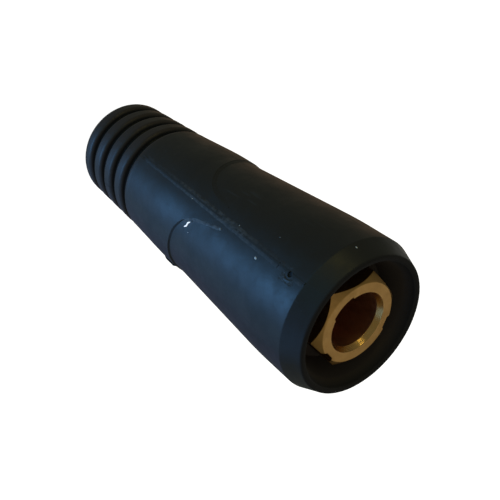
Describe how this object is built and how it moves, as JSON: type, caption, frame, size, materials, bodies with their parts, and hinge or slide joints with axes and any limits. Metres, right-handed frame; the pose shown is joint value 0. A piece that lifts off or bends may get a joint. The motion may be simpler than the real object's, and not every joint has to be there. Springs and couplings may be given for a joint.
{
  "type": "inline socket connector",
  "caption": "Inline cable socket: brass bayonet contact in a ribbed, tapered rubber sleeve, for a round pin plug and a screw-clamped cable.",
  "frame": {"origin": "centre of the cable end face, where the part stands on a bench", "axes": "+Z along the axis from the cable end to the mouth, +X in the mould's parting plane, on the keyway's side"},
  "size_m": [0.0364, 0.036, 0.0987],
  "materials": {
    "sleeve_rubber": "moulded black rubber, faint satin sheen",
    "contact_brass": "turned brass, dulled, bright countersink",
    "screw_steel": "plain steel",
    "ferrule_copper": "bare copper sheet"
  },
  "bodies": {
    "root": {"insulating_sleeve": "sleeve_rubber", "socket_contact": "contact_brass", "clamp_screw_front": "screw_steel", "clamp_screw_rear": "screw_steel", "conductor_ferrule": "ferrule_copper"}
  },
  "joints": []
}
